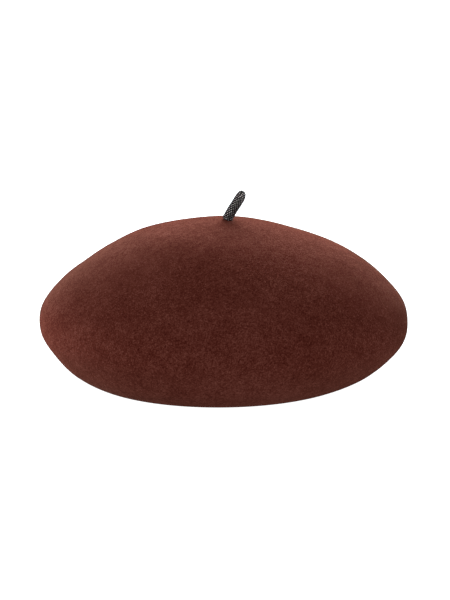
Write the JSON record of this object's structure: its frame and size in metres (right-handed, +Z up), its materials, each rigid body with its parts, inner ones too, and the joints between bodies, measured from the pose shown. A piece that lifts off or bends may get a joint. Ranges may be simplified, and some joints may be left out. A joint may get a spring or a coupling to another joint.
{
  "type": "felt beret with a beaded stalk",
  "caption": "Round flat-domed felt beret, hollow, with a soft rolled edge, a turned-in underside around the head opening, and a short leaning stalk covered with small dark beads.",
  "frame": {"origin": "centre of the beret's footprint box, on the surface that the rim rests on", "axes": "+Z up through the dome, -Y towards the viewer of the picture, +X to the right in the picture, which is the way that the stalk leans"},
  "size_m": [0.2799, 0.28, 0.146],
  "materials": {
    "felt": "dark red-brown wool felt, short velvety nap, finely mottled, matt",
    "beads": "close rows of tiny glossy gunmetal beads, nearly black"
  },
  "bodies": {
    "root": {"felt_shell": "felt", "stalk": "beads"}
  },
  "joints": []
}
